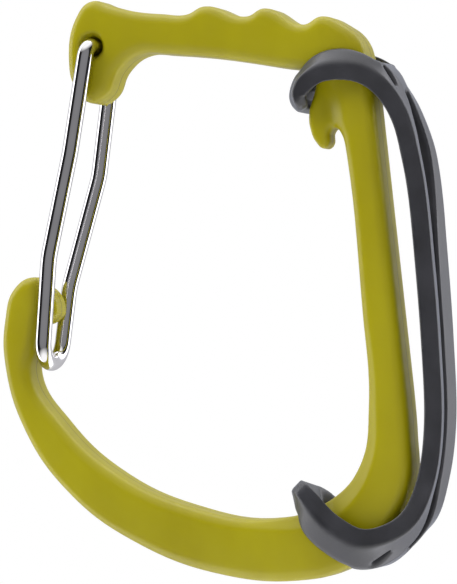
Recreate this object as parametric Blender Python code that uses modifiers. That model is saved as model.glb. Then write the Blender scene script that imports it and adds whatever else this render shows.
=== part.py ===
"""Gear racking clip for a climbing harness: moulded body, sprung wire gate, rubber belt strap.

Metres, +Z up. The spine stands upright, its flat outer face in the plane X = 0, where the harness
belt bears. The origin is the centre of that face, on the clip's mid plane (Y = 0). The open side of
the clip, with the gate, is towards -X.
"""
import math

import bmesh
import bpy
from mathutils import Matrix, Vector

MM = 0.001

# ---- driving dimensions ------------------------------------------------------------------------
BODY_HALF = 5.1 * MM          # half the body's thickness
BODY_EDGE = 1.6 * MM          # rounding of the body's long edges
HOOK_HALF = 2.6 * MM          # half the small inner hook's thickness
CATCH_HALF = 2.9 * MM         # half the catch's thickness, between the gate's legs

WIRE_RADIUS = 1.7 * MM        # gate wire, 3.4 mm round stainless
PIVOT_HOLE_RADIUS = 2.1 * MM
STUB_END = 2.0 * MM           # distance of the wire's two ends from the mid plane
HOLE_FLOOR = 1.5 * MM         # distance of the pivot holes' floors from the mid plane
GATE_SWING = math.radians(30.0)
SWING_MARGIN = math.radians(3.0)

# The gate's corners seen from the side, and how far each leg stands from the mid plane there.
FRONT_PIVOT = (-59.3, 59.0)
REAR_PIVOT = (-60.7, 53.5)
LEG_CORNERS_FRONT = [FRONT_PIVOT, (-65.6, 37.5), (-73.5, 16.5), (-76.95, -0.2)]
LEG_CORNERS_REAR = [REAR_PIVOT, (-65.7, 33.0), (-74.6, 10.5), (-76.95, -0.2)]
LEG_STANDOFF = [7.2, 7.0, 5.7, 5.0]
BEND_RADII = [2.4, 22.0, 22.0, 0.0]

STRAP_HALF_THICKNESS = 1.9 * MM
STRAP_END_THICKNESS = 1.5 * MM    # half the thickness at its two end bars
STRAP_STATIONS = 76               # slices along the strap
STRAP_HALF_WIDTH = 5.7 * MM       # along its free middle
STRAP_HALF_SLOT = 0.75 * MM
STRAP_HALF_WIDTH_END = 8.6 * MM   # where it is stretched over the body
STRAP_HALF_HOLE = 5.45 * MM
END_BAR = 3.4 * MM                # length of the bar that closes each end
TOP_WEB = (18.0 * MM, 23.5 * MM)  # closed stretches, measured from the nearer end
LOW_WEB = (18.0 * MM, 26.0 * MM)

# The corners that shape the body's edge, clockwise, (X, Z) in millimetres.
TOP_BAR = [(-62.1, 66.8), (-58.9, 68.7), (-54.9, 67.1), (-49.7, 65.1), (-43.5, 63.6)]
RIDGE_PEAKS = [(-34.2, 63.8), (-21.2, 61.4), (-9.2, 57.9)]
RIDGE_STEP = (-4.0, -1.1)     # from a ridge's peak to the foot of its steep side
OUTER_CORNER = [(-4.6, 55.5), (-1.6, 52.3), (-0.35, 47.5)]
# The flat stops below the band's upper web. Its ends are doubled so that it stays flat to them.
SPINE_OUTER = [(-0.06, 42.0), (0.0, 38.0), (0.0, 37.6), (0.0, -18.5), (0.0, -19.0), (-0.25, -28.0)]
HEEL_CENTRE = (-25.0, -30.0)  # the lower corner is a quarter circle
HEEL_RADIUS = 25.0
BASKET_OUTER = [(-42.6, -52.7), (-62.8, -43.6), (-75.9, -32.4), (-84.2, -18.8), (-87.3, -4.0),
                (-86.2, 5.0), (-83.4, 11.2), (-78.6, 13.1)]
NOSE_SHOULDER = [(-77.2, 12.1), (-77.2, 9.0), (-78.75, 1.8), (-79.7, -1.2)]
BASKET_INNER = [(-81.6, -6.8), (-76.2, -17.5), (-65.7, -28.7), (-49.7, -37.7), (-30.4, -42.1)]
CRUTCH = [(-18.6, -39.3), (-11.5, -33.0), (-8.3, -22.0)]
SPINE_INNER = [(-7.3, -2.0), (-7.3, 34.0)]
TOP_INNER = [(-8.4, 42.0), (-12.0, 46.3), (-19.9, 49.1), (-43.3, 55.2), (-49.5, 56.0)]
HINGE_LOBE = [(-54.2, 53.5), (-57.6, 48.6), (-61.5, 47.5), (-64.6, 51.0), (-65.6, 55.7)]

HOOK = [(-8.0, 46.0), (-11.4, 44.4), (-13.4, 41.5), (-14.5, 38.4), (-14.4, 35.0), (-13.6, 32.8),
        (-12.1, 31.3), (-10.8, 32.1), (-10.4, 34.4), (-9.2, 35.6), (-6.0, 35.4)]
CATCH = [(-79.5, 11.4), (-76.8, 10.9), (-74.8, 8.7), (-74.3, 6.6), (-74.8, 4.5), (-79.5, 3.6)]

# The middle of the strap's front edge, (X, Z) in millimetres, from its upper end to its lower end.
STRAP_ROUTE = [(-13.1, 39.9), (-14.0, 42.2), (-12.0, 44.3), (-7.8, 45.6), (-1.5, 44.5), (3.2, 40.5),
               (6.3, 33.0), (7.6, 22.0), (7.4, 6.0), (6.8, -10.0), (5.6, -25.6), (2.8, -37.2),
               (-1.8, -45.0), (-9.6, -47.3), (-15.9, -43.9), (-20.6, -38.5), (-23.7, -34.7)]

COLOURS = {
    "frame": ((0.36, 0.34, 0.01, 1.0), 0.35, 0.0),
    "wire_gate": ((0.62, 0.61, 0.62, 1.0), 0.08, 1.0),
    "belt_strap": ((0.025, 0.025, 0.03, 1.0), 0.5, 0.0),
}


# ---- helpers -----------------------------------------------------------------------------------
def clear_scene():
    for obj in list(bpy.data.objects):
        bpy.data.objects.remove(obj, do_unlink=True)


def new_collection(name):
    collection = bpy.data.collections.new(name)
    bpy.context.scene.collection.children.link(collection)
    return collection


def material(name):
    colour, roughness, metallic = COLOURS[name]
    mat = bpy.data.materials.new(name)
    mat.use_nodes = True
    shader = mat.node_tree.nodes["Principled BSDF"]
    shader.inputs["Base Color"].default_value = colour
    shader.inputs["Roughness"].default_value = roughness
    shader.inputs["Metallic"].default_value = metallic
    return mat


def plate(name, outline, half, resolution, collection):
    """A flat piece across the mid plane: a smooth closed outline of (X, Z) points, extruded in Y."""
    curve = bpy.data.curves.new(name, "CURVE")
    curve.dimensions = "2D"
    curve.fill_mode = "BOTH"
    curve.extrude = half
    curve.resolution_u = resolution
    spline = curve.splines.new("BEZIER")
    spline.bezier_points.add(len(outline) - 1)
    for point, (x, z) in zip(spline.bezier_points, outline):
        point.co = (x * MM, z * MM, 0.0)
        point.handle_left_type = "AUTO"
        point.handle_right_type = "AUTO"
    spline.use_cyclic_u = True
    obj = bpy.data.objects.new(name, curve)
    obj.rotation_euler = (math.pi / 2, 0.0, 0.0)
    collection.objects.link(obj)
    return to_mesh(obj)


def to_mesh(obj):
    """Turns a curve object into a mesh in world space, its caps welded on, each flat one a face."""
    bpy.context.view_layer.update()
    evaluated = obj.evaluated_get(bpy.context.evaluated_depsgraph_get())
    mesh = bpy.data.meshes.new_from_object(evaluated)
    mesh.transform(obj.matrix_world)
    bm = bmesh.new()
    bm.from_mesh(mesh)
    bmesh.ops.remove_doubles(bm, verts=bm.verts, dist=0.00001)
    across_caps = [edge for edge in bm.edges if all(abs(f.normal.y) > 0.9999 for f in edge.link_faces)]
    bmesh.ops.dissolve_edges(bm, edges=across_caps)
    bmesh.ops.recalc_face_normals(bm, faces=bm.faces)
    bm.to_mesh(mesh)
    bm.free()
    name = obj.name
    collection = obj.users_collection[0]
    curve = obj.data
    bpy.data.objects.remove(obj)
    bpy.data.curves.remove(curve)
    solid = bpy.data.objects.new(name, mesh)
    collection.objects.link(solid)
    return solid


def soften_edges(obj, width):
    """Rounds the long edges between a plate's faces and its rim."""
    bevel = obj.modifiers.new("rounded edges", "BEVEL")
    bevel.width = width
    bevel.segments = 2
    bevel.limit_method = "ANGLE"
    bevel.angle_limit = math.radians(50.0)


def boolean(obj, other, operation):
    modifier = obj.modifiers.new(f"{operation.lower()} {other.name}", "BOOLEAN")
    modifier.operation = operation
    modifier.solver = "EXACT"
    modifier.object = other


def make_guide(obj):
    """A cutter, or a shape that is joined on: it builds the part but isn't a part itself."""
    obj.hide_render = True
    obj.display_type = "WIRE"


def shade(obj, angle=35.0):
    obj.data.shade_smooth()
    obj.data.set_sharp_from_angle(angle=math.radians(angle))


def arc(centre, radius, start, end, steps):
    """Points on a circle, from angle start to angle end in radians."""
    turn = (end - start) / steps
    angles = [start + turn * i for i in range(steps + 1)]
    return [(centre[0] + radius * math.cos(a), centre[1] + radius * math.sin(a)) for a in angles]


# ---- body --------------------------------------------------------------------------------------
def body_outline():
    ridges = []
    for x, z in RIDGE_PEAKS:
        ridges.append((x + RIDGE_STEP[0], z + RIDGE_STEP[1]))
        ridges.append((x, z))
    heel = arc(HEEL_CENTRE, HEEL_RADIUS, 0.0, -math.pi / 2, 5)[1:]
    return (TOP_BAR + ridges + OUTER_CORNER + SPINE_OUTER + heel + BASKET_OUTER + NOSE_SHOULDER
            + BASKET_INNER + CRUTCH + SPINE_INNER + TOP_INNER + HINGE_LOBE)


def pivot_hole(collection):
    """The front end of the wire turns in this round blind hole."""
    bpy.ops.mesh.primitive_cylinder_add(
        vertices=24, radius=PIVOT_HOLE_RADIUS, depth=2 * BODY_HALF,
        location=(FRONT_PIVOT[0] * MM, -HOLE_FLOOR - BODY_HALF, FRONT_PIVOT[1] * MM),
        rotation=(math.pi / 2, 0.0, 0.0))
    hole = bpy.context.object
    hole.name = "front pivot hole"
    for home in list(hole.users_collection):
        home.objects.unlink(hole)
    collection.objects.link(hole)
    make_guide(hole)
    return hole


def rear_slot(collection):
    """The rear end of the wire is offset from the axis, so it travels along a short curved slot."""
    dx = REAR_PIVOT[0] - FRONT_PIVOT[0]
    dz = REAR_PIVOT[1] - FRONT_PIVOT[1]
    reach = math.hypot(dx, dz)
    start = math.atan2(dz, dx) - SWING_MARGIN
    end = start + GATE_SWING + 2 * SWING_MARGIN
    width = PIVOT_HOLE_RADIUS / MM
    first = (FRONT_PIVOT[0] + reach * math.cos(start), FRONT_PIVOT[1] + reach * math.sin(start))
    last = (FRONT_PIVOT[0] + reach * math.cos(end), FRONT_PIVOT[1] + reach * math.sin(end))
    outline = arc(FRONT_PIVOT, reach + width, start, end, 6)
    outline += arc(last, width, end, end + math.pi, 8)[1:-1]
    outline += arc(FRONT_PIVOT, reach - width, end, start, 6)
    outline += arc(first, width, start + math.pi, start + 2 * math.pi, 8)[1:-1]
    slot = plate("rear pivot slot", outline, BODY_HALF, 1, collection)
    slot.location.y = HOLE_FLOOR + BODY_HALF
    make_guide(slot)
    return slot


def make_body(parts, guides):
    body = plate("frame", body_outline(), BODY_HALF, 4, parts)
    soften_edges(body, BODY_EDGE)
    hook = plate("hook", HOOK, HOOK_HALF, 4, guides)
    soften_edges(hook, BODY_EDGE / 2)
    catch = plate("catch", CATCH, CATCH_HALF, 3, guides)
    for extra in (hook, catch):
        make_guide(extra)
        boolean(body, extra, "UNION")
    boolean(body, pivot_hole(guides), "DIFFERENCE")
    boolean(body, rear_slot(guides), "DIFFERENCE")
    shade(body)
    return body


# ---- gate --------------------------------------------------------------------------------------
def rounded_path(corners, radii):
    """A chain of 3D points along straight runs, with each inner corner turned at its own radius."""
    path = [corners[0]]
    for before, corner, after, radius in zip(corners, corners[1:], corners[2:], radii):
        incoming = (before - corner).normalized()
        outgoing = (after - corner).normalized()
        half_angle = incoming.angle(outgoing) / 2
        setback = radius / math.tan(half_angle)
        steps = max(2, round((math.pi - 2 * half_angle) / math.radians(15.0)))
        centre = corner + (incoming + outgoing).normalized() * radius / math.sin(half_angle)
        start = corner + incoming * setback - centre
        end = corner + outgoing * setback - centre
        for step in range(steps + 1):
            path.append(centre + radius * start.slerp(end, step / steps).normalized())
    path.append(corners[-1])
    return path


def leg_corners(corners, side):
    """One leg's corners in space. side is -1 for the front leg and +1 for the rear leg."""
    points = [Vector((corners[0][0], side * STUB_END / MM, corners[0][1]))]
    for (x, z), standoff in zip(corners, LEG_STANDOFF):
        points.append(Vector((x, side * standoff, z)))
    return points


def gate_path():
    """The wire's centre line: front stub, front leg, loop round the catch, rear leg, rear stub."""
    front = rounded_path(leg_corners(LEG_CORNERS_FRONT, -1), BEND_RADII[:3])
    rear = rounded_path(leg_corners(LEG_CORNERS_REAR, 1), BEND_RADII[:3])
    down = (front[-1] - Vector((LEG_CORNERS_FRONT[2][0], -LEG_STANDOFF[2],
                                LEG_CORNERS_FRONT[2][1]))).normalized()
    down.y = 0.0
    down.normalize()
    radius = LEG_STANDOFF[-1]
    foot = Vector((front[-1].x, 0.0, front[-1].z))
    loop = []
    for step in range(1, 12):
        angle = math.pi * step / 12
        loop.append(foot + down * radius * math.sin(angle)
                    - Vector((0.0, radius * math.cos(angle), 0.0)))
    return front + loop + rear[::-1]


def make_gate(parts):
    pivot = Vector((FRONT_PIVOT[0], 0.0, FRONT_PIVOT[1])) * MM
    curve = bpy.data.curves.new("wire_gate", "CURVE")
    curve.dimensions = "3D"
    curve.bevel_depth = WIRE_RADIUS
    curve.bevel_resolution = 2
    curve.use_fill_caps = True
    points = gate_path()
    spline = curve.splines.new("POLY")
    spline.points.add(len(points) - 1)
    for target, point in zip(spline.points, points):
        target.co = (*(point * MM - pivot), 1.0)
    gate = bpy.data.objects.new("wire_gate", curve)
    parts.objects.link(gate)
    gate = to_mesh(gate)
    gate.location = pivot
    shade(gate, 60.0)
    return gate


# ---- strap -------------------------------------------------------------------------------------
def smooth_step(t):
    t = min(max(t, 0.0), 1.0)
    return t * t * (3.0 - 2.0 * t)


def smooth_route(corners, count):
    """Even steps along a smooth curve through the corners (Catmull-Rom)."""
    pts = [Vector((x, 0.0, z)) * MM for x, z in corners]
    pts = [2 * pts[0] - pts[1], *pts, 2 * pts[-1] - pts[-2]]
    dense = []
    for a, b, c, d in zip(pts, pts[1:], pts[2:], pts[3:]):
        for i in range(24):
            t = i / 24
            dense.append(0.5 * (2 * b + (c - a) * t + (2 * a - 5 * b + 4 * c - d) * t ** 2
                                + (3 * b - a - 3 * c + d) * t ** 3))
    dense.append(pts[-2])
    lengths = [0.0]
    for a, b in zip(dense, dense[1:]):
        lengths.append(lengths[-1] + (b - a).length)
    route = []
    index = 0
    for i in range(count):
        wanted = lengths[-1] * i / (count - 1)
        while index < len(dense) - 2 and lengths[index + 1] < wanted:
            index += 1
        span = lengths[index + 1] - lengths[index]
        route.append(dense[index].lerp(dense[index + 1], (wanted - lengths[index]) / span))
    return route, lengths[-1]


def fade(distance, hold, blend):
    """1 up to the distance hold, then a smooth fall to 0 over the distance blend. Millimetres."""
    return 1.0 - smooth_step((distance / MM - hold) / blend)


def strap_is_solid(s, length):
    """True where the strap's middle is closed: its two end bars and the webs beside the slot."""
    end_bar = min(s, length - s) < END_BAR
    web = TOP_WEB[0] < s < TOP_WEB[1] or LOW_WEB[0] < length - s < LOW_WEB[1]
    return end_bar or web


def make_strap(parts):
    """One rubber band with a hole near each end, which the body passes through, and a long slot.

    Its margins lean in over the body's two faces at the ends, so each slice across it has its own
    shape: four corners for each of the two rails, joined across the middle by the webs.
    """
    route, length = smooth_route(STRAP_ROUTE, STRAP_STATIONS)
    bm = bmesh.new()
    slices = []
    for i, centre in enumerate(route):
        along = route[min(i + 1, len(route) - 1)] - route[max(i - 1, 0)]
        outward = Vector((-along.z, 0.0, along.x)).normalized()
        s = length * i / (len(route) - 1)
        slices.append(strap_slice(bm, centre, outward, s, length))
    solid = [strap_is_solid(length * (i + 0.5) / (len(route) - 1), length)
             for i in range(len(route) - 1)]
    for i in range(len(route) - 1):
        first, second = slices[i], slices[i + 1]
        columns = [0, 1, 2] if solid[i] else [0, 2]
        for column in columns:
            for side in ("outer", "inner"):
                corners = [first[side][column], first[side][column + 1],
                           second[side][column + 1], second[side][column]]
                bm.faces.new(corners)
        edges = [0, 3] if solid[i] else [0, 1, 2, 3]
        for edge in edges:
            bm.faces.new([first["outer"][edge], first["inner"][edge],
                          second["inner"][edge], second["outer"][edge]])
        closed_before = solid[i - 1] if i > 0 else False
        if solid[i] != closed_before:
            close_across(bm, first, 1)
    for end in (slices[0], slices[-1]):
        for column in (0, 2):
            close_across(bm, end, column)
    close_across(bm, slices[-1], 1)
    bmesh.ops.recalc_face_normals(bm, faces=bm.faces)
    mesh = bpy.data.meshes.new("belt_strap")
    bm.to_mesh(mesh)
    bm.free()
    strap = bpy.data.objects.new("belt_strap", mesh)
    parts.objects.link(strap)
    shade(strap)
    return strap


def close_across(bm, cut, column):
    bm.faces.new([cut["outer"][column], cut["outer"][column + 1],
                  cut["inner"][column + 1], cut["inner"][column]])


def strap_slice(bm, centre, outward, s, length):
    """The slice's corners from front to rear, on the band's outer face and on its inner face."""
    to_end = length - s
    spread = max(fade(s, 9, 15), fade(to_end, 18, 16))
    opening = max(fade(s, 14, 40), fade(to_end, 22, 16))
    edge = STRAP_HALF_WIDTH + spread * (STRAP_HALF_WIDTH_END - STRAP_HALF_WIDTH)
    inner_edge = STRAP_HALF_SLOT + opening * (STRAP_HALF_HOLE - STRAP_HALF_SLOT)
    ramp = smooth_step(min(s, to_end) / (10 * MM))
    lean = ramp * (3.3 * fade(s, 15, 13) + 6.0 * fade(to_end, 19, 13) - 0.9 * (1 - spread)) * MM
    bow = 2.2 * MM * fade(s, 2, 8)
    twist = Vector((-0.6, 0.0, -1.2)) * MM * fade(to_end, 2, 18)
    half = STRAP_END_THICKNESS + ramp * (STRAP_HALF_THICKNESS - STRAP_END_THICKNESS)
    cut = {"outer": [], "inner": []}
    for y, rise in ((-edge, 0.0), (-inner_edge, lean), (inner_edge, lean), (edge, 0.0)):
        low = max(rise, 0.0)
        base = centre + Vector((-bow if abs(y) < edge else 0.0, y, 0.0)) + (1 + y / edge) * twist
        cut["outer"].append(bm.verts.new(base + outward * (half + rise)))
        cut["inner"].append(bm.verts.new(base + outward * (low - half)))
    return cut


# ---- assembly ----------------------------------------------------------------------------------
def main():
    clear_scene()
    parts = new_collection("gear racking clip")
    guides = new_collection("cutters and guides")
    for piece in (make_body(parts, guides), make_gate(parts), make_strap(parts)):
        piece.data.materials.clear()
        piece.data.materials.append(material(piece.name))


main()
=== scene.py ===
"""Looks of the gear racking clip: moulded plastic body, polished wire gate, rubber belt band.

Every size is in millimetres until a mesh is made. The origin is the centre of the spine's flat
outer face, on the clip's mid plane: +X towards the belt, +Z up the spine, -Y towards the viewer.
"""
import math

import bpy
import numpy as np
from mathutils import Matrix, Vector


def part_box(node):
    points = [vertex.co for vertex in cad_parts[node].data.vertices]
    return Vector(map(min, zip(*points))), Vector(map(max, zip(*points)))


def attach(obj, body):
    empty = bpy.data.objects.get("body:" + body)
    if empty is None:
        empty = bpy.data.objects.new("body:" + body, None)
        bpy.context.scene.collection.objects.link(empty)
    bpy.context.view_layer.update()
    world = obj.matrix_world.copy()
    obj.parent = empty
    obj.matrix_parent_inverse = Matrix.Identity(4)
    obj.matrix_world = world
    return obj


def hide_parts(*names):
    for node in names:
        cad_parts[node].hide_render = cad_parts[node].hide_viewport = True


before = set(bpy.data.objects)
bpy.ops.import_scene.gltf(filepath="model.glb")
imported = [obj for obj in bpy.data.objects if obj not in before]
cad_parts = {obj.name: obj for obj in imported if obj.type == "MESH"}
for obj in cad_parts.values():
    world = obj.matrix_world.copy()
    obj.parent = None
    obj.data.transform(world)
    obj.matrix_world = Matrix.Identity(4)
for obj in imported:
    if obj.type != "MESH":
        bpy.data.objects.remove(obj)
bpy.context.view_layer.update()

MM = 0.001

# ---- body --------------------------------------------------------------------------------------
BODY_HALF = 5.1
BODY_ROUNDING = 2.3
CROWN = 0.4                   # how far each face falls away towards its edges
CROWN_REACH = 3.0
BODY_PITCH = 0.34             # spacing of the samples the body's surface is drawn from
OUTLINE_STEPS = 8             # points between two corners of an outline

TOP_BAR = [(-62.1, 66.8), (-58.9, 68.7), (-54.9, 67.1), (-49.7, 65.1), (-43.5, 63.6)]
RIDGES = [(-38.2, 62.7), (-34.2, 63.8), (-25.2, 60.3), (-21.2, 61.4), (-13.2, 56.8), (-9.2, 57.9)]
OUTER_CORNER = [(-4.6, 55.5), (-1.6, 52.3), (-0.35, 47.5)]
SPINE_OUTER = [(-0.06, 42.0), (0.0, 38.0), (0.0, 37.6), (0.0, -18.5), (0.0, -19.0),
               (-0.25, -28.0)]
HEEL_CENTRE = (-25.0, -30.0)
HEEL_RADIUS = 25.0
BASKET_OUTER = [(-42.6, -52.7), (-62.8, -43.6), (-75.9, -32.4), (-84.2, -18.8), (-87.3, -4.0),
                (-86.2, 5.0), (-83.4, 11.2), (-78.6, 13.1)]
NOSE_SHOULDER = [(-77.2, 12.1), (-77.2, 9.0), (-78.75, 1.8), (-79.7, -1.2)]
BASKET_INNER = [(-81.6, -6.8), (-76.2, -17.5), (-65.7, -28.7), (-49.7, -37.7), (-30.4, -42.1)]
CRUTCH = [(-18.6, -39.3), (-11.5, -33.0), (-8.3, -22.0)]
SPINE_INNER = [(-7.3, -2.0), (-7.3, 34.0)]
TOP_INNER = [(-8.4, 42.0), (-12.0, 46.3), (-19.9, 49.1), (-43.3, 55.2), (-49.5, 56.0)]
HINGE_LOBE = [(-54.2, 53.5), (-57.6, 48.6), (-61.5, 47.5), (-64.6, 51.0), (-65.6, 55.7)]

HOOK = [(-8.0, 46.0), (-11.4, 44.4), (-13.4, 41.5), (-14.5, 38.4), (-14.4, 35.0), (-13.6, 32.8),
        (-12.1, 31.3), (-10.8, 32.1), (-10.4, 34.4), (-9.2, 35.6), (-6.0, 35.4)]
HOOK_HALF = 2.6
CATCH = [(-79.5, 11.4), (-76.8, 10.9), (-74.8, 8.7), (-74.3, 6.6), (-74.8, 4.5), (-79.5, 3.6)]
CATCH_HALF = 2.9

# Chamfers along the spine's inner edge and under the basket: (X, Z, width) at places along each.
INNER_CHAMFER = [(-7.3, 40.0, 0.5), (-7.3, 20.0, 1.1), (-7.3, 0.0, 1.6), (-8.0, -20.0, 2.4),
                 (-11.5, -33.0, 3.2), (-18.6, -39.3, 4.2), (-30.4, -42.1, 2.4), (-45.0, -39.6, 0.5)]
OUTER_CHAMFER = [(-4.0, -43.6, 0.4), (-13.0, -52.0, 1.6), (-25.0, -55.0, 2.3), (-42.6, -52.7, 2.4),
                 (-62.8, -43.6, 2.0), (-75.9, -32.4, 1.2), (-84.2, -18.8, 0.3)]
CHAMFER_SLOPE = 0.8
CHAMFER_SOFTNESS = 0.35
HOOK_ROUNDING = 1.1
HOOK_FILLET = 4.0
CATCH_ROUNDING = 1.0
CATCH_FILLET = 0.8
HOLE_LIP = 0.3                # rounding where a pivot hole meets the face round it
POCKET_LIP = 0.6

# ---- gate --------------------------------------------------------------------------------------
WIRE_RADIUS = 1.7
PIVOT_HOLE_RADIUS = 2.1
POCKET_RADIUS = 2.7           # the shallow recess round the mouth of each pivot hole
POCKET_DEPTH = 0.9
HOLE_FLOOR = 1.5
STUB_END = 2.0
FRONT_PIVOT = (-59.3, 59.0)
REAR_PIVOT = (-60.7, 53.5)
LEG_CORNERS_FRONT = [FRONT_PIVOT, (-65.6, 37.5), (-73.5, 16.5), (-76.95, -0.2)]
LEG_CORNERS_REAR = [REAR_PIVOT, (-65.7, 33.0), (-74.6, 10.5), (-76.95, -0.2)]
LEG_STANDOFF = [7.2, 7.0, 5.7, 5.0]
BEND_RADII = [2.4, 22.0, 22.0, 0.0]
GATE_SWING = 30.0
SWING_MARGIN = 3.0

# ---- band --------------------------------------------------------------------------------------
BAND_ROUTE = [(-13.1, 39.5), (-14.0, 42.0), (-12.0, 44.3), (-7.8, 45.6), (-1.5, 44.5),
              (3.2, 40.5), (6.3, 33.0), (7.6, 22.0), (7.4, 6.0), (6.8, -10.0), (5.6, -25.6),
              (2.8, -37.2), (-1.8, -45.0), (-9.6, -47.3), (-15.9, -43.9), (-20.6, -38.5),
              (-23.7, -34.7)]
BAND_PITCH = 0.3
BAND_ROUNDING = 0.55
# Distance along the band, half its width, half its slot or hole, and how far the middle of its
# outer face stands above its margins.
BAND_PROFILE = [
    (0.0, 7.6, 5.4, 0.0),
    (4.0, 8.5, 5.4, 0.4),
    (9.0, 8.6, 5.4, 3.3),
    (13.0, 8.4, 5.4, 3.5),
    (18.0, 7.3, 5.2, 2.4),
    (24.0, 6.0, 0.9, 0.7),
    (29.5, 5.6, 2.1, -0.2),
    (36.0, 6.7, 3.2, -0.45),
    (42.0, 6.3, 2.5, -0.6),
    (52.0, 5.9, 1.4, -0.8),
    (64.0, 5.7, 0.75, -0.9),
    (96.0, 5.3, 0.7, -0.9),
    (102.0, 5.3, 0.9, -0.8),
    (106.0, 6.0, 1.8, -0.5),
    (110.0, 7.2, 1.7, 0.3),
    (115.5, 8.3, 1.0, 2.6),
    (121.0, 8.6, 5.3, 5.6),
    (131.0, 8.6, 5.4, 5.2),
    (135.0, 8.6, 5.4, 2.8),
    (138.5, 7.8, 5.4, 0.3),
]
BAND_OPENINGS = [(5.4, 18.6), (24.2, 115.0), (121.5, 135.0)]
BAND_SLITS = [(19.8, 22.9, 3.9), (116.8, 119.2, 4.7)]    # start, end, distance from the middle
BAND_SLIT_HALF = 0.36
BAND_CORNER = 3.0             # rounding of the band's four corners, seen flat
OPENING_CORNER = 0.7
BAND_THICKNESS = [(0.0, 1.15), (5.0, 1.95), (133.0, 1.95), (138.5, 1.7)]

# ---- camera ------------------------------------------------------------------------------------
LOOK_AT = (-36.6, 0.0, 5.0)
AZIMUTH = 21.0
ELEVATION = -3.0
ROLL = 6.1
DISTANCE = 600.0
LENS = 180.0
STUDIO_LEVEL = 3.4            # brightness of the studio's side walls
STUDIO_BLUE = 1.05
# The studio's shade from straight behind the clip (0) round to the viewer's side (1).
STUDIO_SHADES = [(0.0, 0.17), (0.22, 0.22), (0.34, 1.0), (0.43, 1.0), (0.48, 0.005),
                 (0.79, 0.005), (0.84, 0.075), (1.0, 0.085)]
FLOOR_RADIUS = 1.0            # metres
FLOOR_DROP = 0.13             # metres below the middle of the clip


# ---- curves ------------------------------------------------------------------------------------
def smooth_outline(corners, steps):
    """A smooth closed line through (X, Z) corners, as an array of points."""
    curve = bpy.data.curves.new("outline", "CURVE")
    curve.dimensions = "2D"
    curve.fill_mode = "NONE"
    curve.resolution_u = steps
    spline = curve.splines.new("BEZIER")
    spline.bezier_points.add(len(corners) - 1)
    for point, (x, z) in zip(spline.bezier_points, corners):
        point.co = (x, z, 0.0)
        point.handle_left_type = "AUTO"
        point.handle_right_type = "AUTO"
    spline.use_cyclic_u = True
    holder = bpy.data.objects.new("outline", curve)
    bpy.context.scene.collection.objects.link(holder)
    bpy.context.view_layer.update()
    evaluated = holder.evaluated_get(bpy.context.evaluated_depsgraph_get())
    points = np.array([v.co[:2] for v in evaluated.to_mesh().vertices])
    evaluated.to_mesh_clear()
    bpy.data.objects.remove(holder)
    bpy.data.curves.remove(curve)
    return points


def arc(centre, radius, start, end, steps):
    angles = np.radians(np.linspace(start, end, steps + 1))
    return [(centre[0] + radius * math.cos(a), centre[1] + radius * math.sin(a)) for a in angles]


def smooth_route(corners, step):
    """Even steps along a smooth open curve through the corners (Catmull-Rom)."""
    pts = np.array(corners, float)
    pts = np.vstack([2 * pts[0] - pts[1], pts, 2 * pts[-1] - pts[-2]])
    t = np.linspace(0, 1, 40, endpoint=False)[:, None]
    pieces = []
    for a, b, c, d in zip(pts, pts[1:], pts[2:], pts[3:]):
        pieces.append(0.5 * (2 * b + (c - a) * t + (2 * a - 5 * b + 4 * c - d) * t ** 2
                             + (3 * b - a - 3 * c + d) * t ** 3))
    dense = np.vstack([*pieces, pts[-2:-1]])
    lengths = np.concatenate([[0], np.cumsum(np.linalg.norm(np.diff(dense, axis=0), axis=1))])
    s = np.arange(0, lengths[-1] + step / 2, step)
    return s, np.stack([np.interp(s, lengths, column) for column in dense.T], 1)


def smooth_step(t):
    t = np.clip(t, 0, 1)
    return t * t * (3 - 2 * t)


def fade(distance, hold, blend):
    """1 up to the distance hold, then a smooth fall to 0 over the distance blend."""
    return 1 - smooth_step((distance - hold) / blend)


# ---- solids as fields --------------------------------------------------------------------------
# A field is negative inside a solid and positive outside, in millimetres from its surface.
def line_distance(points, x, z):
    """Distance from (x, z) to an open line, and how far along its points the nearest place is."""
    nearest = np.full(x.shape, np.inf)
    along = np.zeros(x.shape)
    for i, (a, b) in enumerate(zip(points, points[1:])):
        edge = b - a
        t = np.clip(((x - a[0]) * edge[0] + (z - a[1]) * edge[1]) / edge.dot(edge), 0, 1)
        gap = np.hypot(x - a[0] - t * edge[0], z - a[1] - t * edge[1])
        along = np.where(gap < nearest, i + t, along)
        nearest = np.minimum(nearest, gap)
    return nearest, along


def outline_distance(points, x, z):
    """Signed distance from (x, z) to a closed outline, negative inside it."""
    closed = np.vstack([points, points[:1]])
    nearest, _ = line_distance(closed, x, z)
    inside = np.zeros(x.shape, bool)
    for a, b in zip(closed, closed[1:]):
        if a[1] == b[1]:
            continue
        crosses = (a[1] > z) != (b[1] > z)
        inside ^= crosses & (x < a[0] + (z - a[1]) * (b[0] - a[0]) / (b[1] - a[1]))
    return np.where(inside, -nearest, nearest)


def slab(distance, off_plane, half, rounding):
    """A flat piece of the given half thickness, with its edges rounded."""
    across = np.abs(off_plane) - half + rounding
    along = distance + rounding
    outside = np.hypot(np.maximum(along, 0), np.maximum(across, 0))
    return np.minimum(np.maximum(along, across), 0) + outside - rounding


def join(a, b, fillet):
    overlap = np.maximum(fillet - np.abs(a - b), 0)
    return np.minimum(a, b) - overlap * overlap / (4 * fillet)


def cut(a, tool, fillet):
    return -join(-a, tool, fillet)


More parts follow.
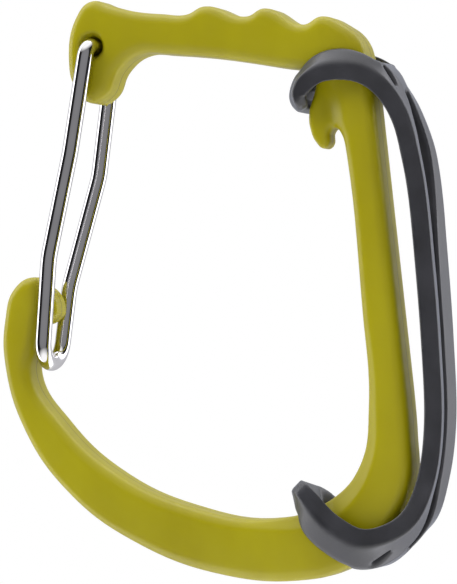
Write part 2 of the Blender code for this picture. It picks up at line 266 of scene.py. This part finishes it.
def skin(field, axes):
    """The surface where a sampled field is zero: vertices and quads, a vertex per crossed cell."""
    shape = np.array(field.shape)
    below = field < 0
    count = np.zeros(shape - 1, np.int8)
    for i in (0, 1):
        for j in (0, 1):
            for k in (0, 1):
                count += below[i:shape[0] - 1 + i, j:shape[1] - 1 + j, k:shape[2] - 1 + k]
    cells = np.argwhere((count > 0) & (count < 8))
    number = np.full(shape - 1, -1)
    number[tuple(cells.T)] = np.arange(len(cells))

    corners = np.array([(i, j, k) for i in (0, 1) for j in (0, 1) for k in (0, 1)])
    values = np.stack([field[tuple((cells + corner).T)] for corner in corners], 1)
    total = np.zeros((len(cells), 3))
    crossings = np.zeros(len(cells))
    for a in range(8):
        for b in range(a + 1, 8):
            if np.abs(corners[a] - corners[b]).sum() != 1:
                continue
            crossed = (values[:, a] < 0) != (values[:, b] < 0)
            span = np.where(crossed, values[:, b] - values[:, a], 1)
            share = np.where(crossed, -values[:, a] / span, 0)[:, None]
            total += crossed[:, None] * (corners[a] + share * (corners[b] - corners[a]))
            crossings += crossed
    place = cells + total / crossings[:, None]
    verts = np.stack([np.interp(place[:, n], np.arange(shape[n]), axes[n]) for n in range(3)], 1)

    quads = []
    for n in range(3):
        lower = np.moveaxis(below, n, 0)[:-1]
        upper = np.moveaxis(below, n, 0)[1:]
        for inward, edges in ((True, lower & ~upper), (False, ~lower & upper)):
            found = np.argwhere(edges)
            found = np.insert(found[:, 1:], n, found[:, 0], axis=1)
            others = [np.eye(3, dtype=int)[(n + 1) % 3], np.eye(3, dtype=int)[(n + 2) % 3]]
            ring = [found - others[0] - others[1], found - others[1], found,
                    found - others[0]]
            quad = np.stack([number[tuple(r.T)] for r in ring], 1)
            quads.append(quad if inward else quad[:, ::-1])
    return verts, np.vstack(quads)


def make_object(name, verts, faces, body, node):
    """A smooth mesh object that rides on a body and stands for a CAD node."""
    mesh = bpy.data.meshes.new(name)
    mesh.from_pydata((np.asarray(verts) * MM).tolist(), [], np.asarray(faces).tolist())
    mesh.validate()
    mesh.shade_smooth()
    obj = bpy.data.objects.new(name, mesh)
    bpy.context.scene.collection.objects.link(obj)
    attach(obj, body)
    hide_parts(node)
    return obj


def relax(obj, rounds):
    """Evens out the sampled surface."""
    modifier = obj.modifiers.new("even surface", "SMOOTH")
    modifier.factor = 0.5
    modifier.iterations = rounds


# ---- body --------------------------------------------------------------------------------------
def chamfer_field(places, rim, edge, x, z):
    """How far inside a chamfer each place is. The rim is the stretch of outline it runs along."""
    _, line = smooth_route([place[:2] for place in places], 0.5)
    spots = [line_distance(line, np.array(place[0]), np.array(place[1]))[1] for place in places]
    _, along = line_distance(line, x, z)
    width = np.interp(along, np.array(spots, float), [place[2] for place in places])
    away, _ = line_distance(rim, x, z)
    beyond = (edge > 0) & (away < edge + 0.5)
    return np.where(beyond, width + away, width - away)


def point_track(pivot):
    """A wire end that turns on the spot: a track too short to notice."""
    return np.array([pivot, pivot]) + np.array([[0.0], [0.01]])


def rear_track():
    """The rear wire end stands off the hinge's axis, so it moves along an arc as the gate turns."""
    dx = REAR_PIVOT[0] - FRONT_PIVOT[0]
    dz = REAR_PIVOT[1] - FRONT_PIVOT[1]
    start = math.degrees(math.atan2(dz, dx))
    return np.array(arc(FRONT_PIVOT, math.hypot(dx, dz), start - SWING_MARGIN,
                        start + GATE_SWING + SWING_MARGIN, 8))


def body_field(x, y, z):
    """The body's field on the grid x, y, z, each a one-dimensional array."""
    gx, gz = np.meshgrid(x, z, indexing="ij")
    heel = arc(HEEL_CENTRE, HEEL_RADIUS, 0.0, -90.0, 5)[1:]
    corners = (TOP_BAR + RIDGES + OUTER_CORNER + SPINE_OUTER + heel + BASKET_OUTER
               + NOSE_SHOULDER + BASKET_INNER + CRUTCH + SPINE_INNER + TOP_INNER + HINGE_LOBE)
    outline = smooth_outline(corners, OUTLINE_STEPS)
    edge = outline_distance(outline, gx, gz)

    def rim(first, last):
        start = corners.index(first) * OUTLINE_STEPS
        return outline[start:corners.index(last) * OUTLINE_STEPS + 1]

    flat = {
        "half": BODY_HALF - CROWN * np.exp(np.minimum(edge, 0) / CROWN_REACH),
        "edge": edge,
        "hook": outline_distance(smooth_outline(HOOK, OUTLINE_STEPS), gx, gz),
        "catch": outline_distance(smooth_outline(CATCH, OUTLINE_STEPS), gx, gz),
        "chamfer": np.maximum(
            chamfer_field(INNER_CHAMFER, rim(BASKET_INNER[2], TOP_INNER[0]), edge, gx, gz),
            chamfer_field(OUTER_CHAMFER, rim(SPINE_OUTER[-1], BASKET_OUTER[4]), edge, gx, gz)),
    }
    f = {name: value[:, None, :] for name, value in flat.items()}
    y = y[None, :, None]
    body = slab(f["edge"], y, f["half"], BODY_ROUNDING)
    chamfer = (np.abs(y) - BODY_HALF + CHAMFER_SLOPE * f["chamfer"]) / math.hypot(1, CHAMFER_SLOPE)
    body = -join(-body, -chamfer, CHAMFER_SOFTNESS)
    body = join(body, slab(f["hook"], y, HOOK_HALF, HOOK_ROUNDING), HOOK_FILLET)
    body = join(body, slab(f["catch"], y, CATCH_HALF, CATCH_ROUNDING), CATCH_FILLET)
    for track, side in ((point_track(FRONT_PIVOT), -1), (rear_track(), 1)):
        away = line_distance(track, gx, gz)[0][:, None, :]
        hole = np.maximum(away - PIVOT_HOLE_RADIUS, HOLE_FLOOR - side * y)
        pocket = np.maximum(away - POCKET_RADIUS, BODY_HALF - POCKET_DEPTH - side * y)
        body = cut(cut(body, hole, HOLE_LIP), pocket, POCKET_LIP)
    return body


def make_body():
    low, high = (np.array(corner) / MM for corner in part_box("frame"))
    margin = 3 * BODY_PITCH
    axes = [np.arange(low[n] - margin, high[n] + margin, BODY_PITCH) for n in range(3)]
    verts, faces = skin(body_field(*axes), axes)
    body = make_object("body_shell", verts, faces, "clip", "frame")
    relax(body, 3)
    return body


# ---- gate --------------------------------------------------------------------------------------
def rounded_path(corners, radii):
    """A chain of 3D points along straight runs, with each inner corner turned at its own radius."""
    path = [corners[0]]
    for before, corner, after, radius in zip(corners, corners[1:], corners[2:], radii):
        incoming = (before - corner).normalized()
        outgoing = (after - corner).normalized()
        half_angle = incoming.angle(outgoing) / 2
        centre = corner + (incoming + outgoing).normalized() * radius / math.sin(half_angle)
        setback = radius / math.tan(half_angle)
        start = corner + incoming * setback - centre
        end = corner + outgoing * setback - centre
        steps = max(6, round((math.pi - 2 * half_angle) / math.radians(4.0)))
        for step in range(steps + 1):
            path.append(centre + radius * start.slerp(end, step / steps).normalized())
    path.append(corners[-1])
    return path


def leg_corners(corners, side):
    points = [Vector((corners[0][0], side * STUB_END, corners[0][1]))]
    for (x, z), standoff in zip(corners, LEG_STANDOFF):
        points.append(Vector((x, side * standoff, z)))
    return points


def gate_path():
    """The wire's centre line: front stub, front leg, loop round the catch, rear leg, rear stub."""
    front = rounded_path(leg_corners(LEG_CORNERS_FRONT, -1), BEND_RADII[:3])
    rear = rounded_path(leg_corners(LEG_CORNERS_REAR, 1), BEND_RADII[:3])
    down = Vector((LEG_CORNERS_FRONT[3][0] - LEG_CORNERS_FRONT[2][0], 0.0,
                   LEG_CORNERS_FRONT[3][1] - LEG_CORNERS_FRONT[2][1])).normalized()
    foot = Vector((front[-1].x, 0.0, front[-1].z))
    loop = []
    for step in range(1, 40):
        angle = math.pi * step / 40
        loop.append(foot + LEG_STANDOFF[-1] * (down * math.sin(angle)
                                               - Vector((0.0, math.cos(angle), 0.0))))
    return front + loop + rear[::-1]


def make_gate():
    curve = bpy.data.curves.new("gate_wire", "CURVE")
    curve.dimensions = "3D"
    curve.bevel_depth = WIRE_RADIUS * MM
    curve.bevel_resolution = 10
    curve.use_fill_caps = True
    points = gate_path()
    spline = curve.splines.new("POLY")
    spline.points.add(len(points) - 1)
    for target, point in zip(spline.points, points):
        target.co = (*(point * MM), 1.0)
    holder = bpy.data.objects.new("gate_path", curve)
    bpy.context.scene.collection.objects.link(holder)
    bpy.context.view_layer.update()
    evaluated = holder.evaluated_get(bpy.context.evaluated_depsgraph_get())
    mesh = bpy.data.meshes.new_from_object(evaluated)
    mesh.shade_smooth()
    mesh.set_sharp_from_angle(angle=math.radians(50.0))
    bpy.data.objects.remove(holder)
    gate = bpy.data.objects.new("gate_wire", mesh)
    bpy.context.scene.collection.objects.link(gate)
    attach(gate, "gate")
    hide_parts("wire_gate")
    return gate


# ---- band --------------------------------------------------------------------------------------
def band_profile(s):
    """Half width, half opening and rise at distances s along the band, each smoothed."""
    table = np.array(BAND_PROFILE)
    reach = 12
    window = np.exp(-0.5 * (np.arange(-reach, reach + 1) * BAND_PITCH / 1.4) ** 2)
    window /= window.sum()
    columns = []
    for n in (1, 2, 3):
        sampled = np.interp(s, table[:, 0], table[:, n])
        padded = np.pad(sampled, reach, mode="edge")
        columns.append(np.convolve(padded, window, mode="valid"))
    return columns


def rounded_box(s, u, half_width, middle, reach, corner):
    """A rectangle with rounded corners in the flat band's plane, its width varying along s."""
    beside = np.abs(u)[None, :] - half_width[:, None] + corner
    beyond = (np.abs(s - middle) - reach + corner)[:, None]
    outside = np.hypot(np.maximum(beside, 0), np.maximum(beyond, 0))
    return np.minimum(np.maximum(beside, beyond), 0) + outside - corner


def flat_band_field(s, u, v, length):
    """The band before it is bent: s along it, u across it, v through its thickness."""
    edge, opening, _ = band_profile(s)
    plan = rounded_box(s, u, edge, length / 2, length / 2, BAND_CORNER)
    for start, end in BAND_OPENINGS:
        middle = (start + end) / 2
        window = rounded_box(s, u, opening, middle, (end - start) / 2, OPENING_CORNER)
        plan = np.maximum(plan, -window)
    for start, end, away in BAND_SLITS:
        inside = np.clip(s, start, end)
        slit = np.hypot((s - inside)[:, None], (np.abs(u) - away)[None, :]) - BAND_SLIT_HALF
        plan = np.maximum(plan, -slit)
    half = np.interp(s, *np.array(BAND_THICKNESS).T)[:, None, None]
    return slab(plan[:, :, None], v[None, None, :], half, BAND_ROUNDING)


def bend_band(verts, s, route):
    """Carries the flat band's points onto its route round the body."""
    length = s[-1]
    heading = np.gradient(route, s, axis=0)
    heading /= np.linalg.norm(heading, axis=1)[:, None]
    edge, opening, rise = band_profile(s)

    def at(values):
        return np.interp(verts[:, 0], s, values)

    u = verts[:, 1]
    v = verts[:, 2]
    half = at(np.interp(s, *np.array(BAND_THICKNESS).T))
    inner = np.minimum(at(opening), at(edge) - 2.0)
    towards_middle = np.clip((at(edge) - np.abs(u)) / (at(edge) - inner), 0, 1)
    lift = at(rise) * towards_middle
    lift = np.where(lift > 0, lift, lift * np.clip((v + half) / (2 * half), 0, 1))
    x = at(route[:, 0]) - at(heading[:, 1]) * (v + lift)
    z = at(route[:, 1]) + at(heading[:, 0]) * (v + lift)
    bow = 2.0 * fade(verts[:, 0], 3, 8) * fade(np.abs(u), 2.5, 5.5)
    twist = 0.5 * (1 + u / 8.6) * fade(length - verts[:, 0], 2, 18)
    return np.stack([x - bow - 1.2 * twist, u, z - 2.4 * twist], 1)


def make_band():
    s, route = smooth_route(BAND_ROUTE, BAND_PITCH)
    margin = 4 * BAND_PITCH
    along = np.arange(-margin, s[-1] + margin, BAND_PITCH)
    across = np.arange(-9.0 - margin, 9.0 + margin, BAND_PITCH)
    through = np.arange(-2.0 - margin, 2.0 + margin, BAND_PITCH)
    field = flat_band_field(along, across, through, s[-1])
    verts, faces = skin(field, [along, across, through])
    band = make_object("rubber_band", bend_band(verts, s, route), faces, "clip", "belt_strap")
    relax(band, 3)
    return band


# ---- materials ---------------------------------------------------------------------------------
class Nodes:
    """Short forms for building a material's node tree."""

    def __init__(self, name):
        self.material = bpy.data.materials.new(name)
        self.material.use_nodes = True
        self.tree = self.material.node_tree
        self.shader = self.tree.nodes["Principled BSDF"]
        self.place = self.tree.nodes.new("ShaderNodeTexCoord").outputs["Object"]

    def new(self, kind, **inputs):
        node = self.tree.nodes.new("ShaderNode" + kind)
        for name, value in inputs.items():
            self.set(node, name.replace("_", " "), value)
        return node

    def set(self, node, name, value):
        socket = node.inputs[name]
        if hasattr(value, "is_output"):
            self.tree.links.new(value, socket)
        else:
            socket.default_value = value

    def noise(self, scale, detail=2.0, stretch=(1.0, 1.0, 1.0)):
        mapping = self.new("Mapping", Vector=self.place, Scale=stretch)
        node = self.new("TexNoise", Vector=mapping.outputs[0], Scale=scale, Detail=detail)
        return node.outputs["Fac"]

    def spread(self, value, low, high, to_low, to_high):
        node = self.new("MapRange", Value=value)
        for name, number in (("From Min", low), ("From Max", high), ("To Min", to_low),
                             ("To Max", to_high)):
            node.inputs[name].default_value = number
        return node.outputs[0]

    def ramp(self, value, *stops):
        node = self.new("ValToRGB", Fac=value)
        elements = node.color_ramp.elements
        while len(elements) < len(stops):
            elements.new(0.5)
        for element, (position, colour) in zip(elements, stops):
            element.position = position
            element.color = (*colour, 1.0)
        return node.outputs[0]

    def mix(self, share, first, second):
        node = self.tree.nodes.new("ShaderNodeMix")
        node.data_type = "RGBA"
        for name, value in (("Factor", share), ("A", first), ("B", second)):
            self.set(node, name, value)
        return node.outputs["Result"]

    def math(self, operation, a, b=0.0):
        node = self.tree.nodes.new("ShaderNodeMath")
        node.operation = operation
        for index, value in enumerate((a, b)):
            if hasattr(value, "is_output"):
                self.tree.links.new(value, node.inputs[index])
            else:
                node.inputs[index].default_value = value
        return node.outputs[0]

    def bump(self, height, strength, distance):
        node = self.new("Bump", Height=height, Strength=strength, Distance=distance)
        self.set(self.shader, "Normal", node.outputs[0])

    def finish(self, **inputs):
        for name, value in inputs.items():
            self.set(self.shader, name.replace("_", " "), value)
        return self.material


def plastic():
    """Lime nylon, satin from a lightly sparked mould, with the mould's parting line on its rim."""
    n = Nodes("lime_nylon")
    flow = n.noise(60.0, 3.0, (1.0, 1.0, 0.45))
    lime = n.ramp(flow, (0.35, (0.325, 0.283, 0.0)), (0.65, (0.372, 0.33, 0.001)))
    across = n.math("ABSOLUTE", n.new("SeparateXYZ", Vector=n.place).outputs["Y"])
    seam = n.spread(across, 0.00008, 0.00026, 1.0, 0.0)
    colour = n.mix(n.math("MULTIPLY", seam, 0.55), lime, (0.10, 0.085, 0.0, 1.0))
    grain = n.noise(3800.0, 2.0)
    cloud = n.noise(260.0, 3.0)
    rough = n.spread(cloud, 0.3, 0.7, 0.34, 0.44)
    relief = n.math("ADD", n.math("MULTIPLY", grain, 0.35), cloud)
    n.bump(n.math("SUBTRACT", relief, n.math("MULTIPLY", seam, 1.5)), 0.25, 0.0001)
    return n.finish(Base_Color=colour, Roughness=rough, IOR=1.5, Specular_IOR_Level=0.36,
                    Subsurface_Weight=0.18,
                    Subsurface_Radius=(0.004, 0.0035, 0.0006), Subsurface_Scale=1.0)


def steel():
    """Polished stainless wire, with faint lines drawn along it."""
    n = Nodes("polished_wire")
    lines = n.noise(900.0, 3.0, (1.0, 1.0, 0.03))
    smudge = n.noise(120.0, 3.0)
    rough = n.spread(smudge, 0.3, 0.7, 0.05, 0.11)
    n.bump(lines, 0.06, 0.00005)
    colour = n.ramp(smudge, (0.3, (0.66, 0.65, 0.66)), (0.7, (0.74, 0.73, 0.73)))
    return n.finish(Base_Color=colour, Metallic=1.0, Roughness=rough)


def rubber():
    """Black moulded rubber: a fine matt grain, slightly paler where it has been handled."""
    n = Nodes("black_rubber")
    grain = n.noise(2600.0, 3.0)
    wear = n.noise(150.0, 4.0)
    colour = n.ramp(wear, (0.35, (0.019, 0.019, 0.023)), (0.75, (0.034, 0.034, 0.041)))
    rough = n.spread(wear, 0.3, 0.7, 0.34, 0.46)
    n.bump(n.math("ADD", grain, n.math("MULTIPLY", wear, 0.6)), 0.2, 0.00008)
    return n.finish(Base_Color=colour, Roughness=rough, IOR=1.65, Sheen_Weight=0.25,
                    Sheen_Roughness=0.35, Sheen_Tint=(0.75, 0.82, 1.0, 1.0))


# ---- light, floor and camera -------------------------------------------------------------------
def make_world():
    """A studio with bright side walls, pale above and below, and a dim panel by the viewer."""
    world = bpy.data.worlds.new("studio")
    bpy.context.scene.world = world
    world.use_nodes = True
    tree = world.node_tree
    tree.nodes.clear()

    def node(kind, operation=None, **inputs):
        made = tree.nodes.new("ShaderNode" + kind)
        if kind == "Mix":
            made.data_type = "RGBA"
            made.blend_type = operation or "MIX"
        elif operation:
            made.operation = operation
        for name, value in inputs.items():
            socket = made.inputs[name.replace("_", " ")]
            if hasattr(value, "is_output"):
                tree.links.new(value, socket)
            else:
                socket.default_value = value
        return made

    direction = node("TexCoord").outputs["Generated"]
    viewer = Vector((math.sin(math.radians(AZIMUTH)), -math.cos(math.radians(AZIMUTH)), 0.0))
    facing = node("VectorMath", "DOT_PRODUCT", Vector=direction)
    facing.inputs[1].default_value = viewer
    turned = node("MapRange", Value=facing.outputs["Value"], From_Min=-1.0)
    walls = node("ValToRGB", Fac=turned.outputs[0])
    elements = walls.color_ramp.elements
    while len(elements) < len(STUDIO_SHADES):
        elements.new(0.5)
    for element, (position, shade) in zip(elements, STUDIO_SHADES):
        element.position = position
        element.color = (shade, shade, shade * STUDIO_BLUE, 1.0)
    height = node("SeparateXYZ", Vector=direction)
    steepness = node("Math", "ABSOLUTE", Value=height.outputs["Z"])
    overhead = node("MapRange", Value=steepness.outputs[0], From_Min=0.5, From_Max=0.85,
                    To_Max=0.4)
    brighter = node("Mix", "LIGHTEN", Factor=1.0, A=walls.outputs[0], B=overhead.outputs[0])
    seen = node("LightPath").outputs["Is Camera Ray"]
    white = (*[1.0 / STUDIO_LEVEL] * 3, 1.0)
    show = node("Mix", Factor=seen, A=brighter.outputs["Result"], B=white)
    light = node("Background", Strength=STUDIO_LEVEL, Color=show.outputs["Result"])
    node("OutputWorld", Surface=light.outputs[0])


def area_light(name, place, target, size, power):
    light = bpy.data.lights.new(name, "AREA")
    light.shape = "RECTANGLE"
    light.size, light.size_y = size
    light.energy = power
    obj = bpy.data.objects.new(name, light)
    obj.location = place
    obj.rotation_euler = (Vector(target) - Vector(place)).to_track_quat("-Z", "Y").to_euler()
    obj.visible_glossy = False
    bpy.context.scene.collection.objects.link(obj)
    return obj


def make_studio():
    make_world()
    centre = Vector(LOOK_AT) * MM
    area_light("key", centre + Vector((-0.55, -0.55, 0.65)), centre, (0.5, 0.5), 3.9)
    area_light("fill", centre + Vector((0.75, -0.25, 0.2)), centre, (0.3, 0.6), 1.0)
    mesh = bpy.data.meshes.new("floor")
    ring = [(FLOOR_RADIUS * math.cos(a), FLOOR_RADIUS * math.sin(a), 0.0)
            for a in np.linspace(0, 2 * math.pi, 96, endpoint=False)]
    mesh.from_pydata(ring, [], [list(range(96))])
    floor = bpy.data.objects.new("floor", mesh)
    floor.location = (centre.x, centre.y, -FLOOR_DROP)
    bpy.context.scene.collection.objects.link(floor)
    n = Nodes("pale_floor")
    shade = n.ramp(n.noise(3.0, 2.0), (0.3, (0.80, 0.80, 0.80)), (0.7, (0.84, 0.84, 0.84)))
    mesh.materials.append(n.finish(Base_Color=shade, Roughness=0.7))
    floor.visible_glossy = False


def make_camera():
    azimuth, elevation, roll = (math.radians(a) for a in (AZIMUTH, ELEVATION, ROLL))
    back = Vector((math.sin(azimuth) * math.cos(elevation),
                   -math.cos(azimuth) * math.cos(elevation), math.sin(elevation)))
    right = (-back).cross(Vector((0.0, 0.0, 1.0))).normalized()
    up = right.cross(-back)
    turned_right = math.cos(roll) * right - math.sin(roll) * up
    turned_up = math.cos(roll) * up + math.sin(roll) * right
    data = bpy.data.cameras.new("camera")
    data.lens = LENS
    data.sensor_width = 36.0
    data.clip_start = 0.01
    camera = bpy.data.objects.new("camera", data)
    bpy.context.scene.collection.objects.link(camera)
    turn = Matrix((turned_right, turned_up, back)).transposed()
    place = (Vector(LOOK_AT) + DISTANCE * back) * MM
    camera.matrix_world = Matrix.Translation(place) @ turn.to_4x4()
    bpy.context.scene.camera = camera


# ---- assembly ----------------------------------------------------------------------------------
make_body().data.materials.append(plastic())
wire = make_gate()
wire.data.materials.clear()
wire.data.materials.append(steel())
make_band().data.materials.append(rubber())
make_studio()
make_camera()
bpy.context.scene.view_settings.view_transform = "Standard"
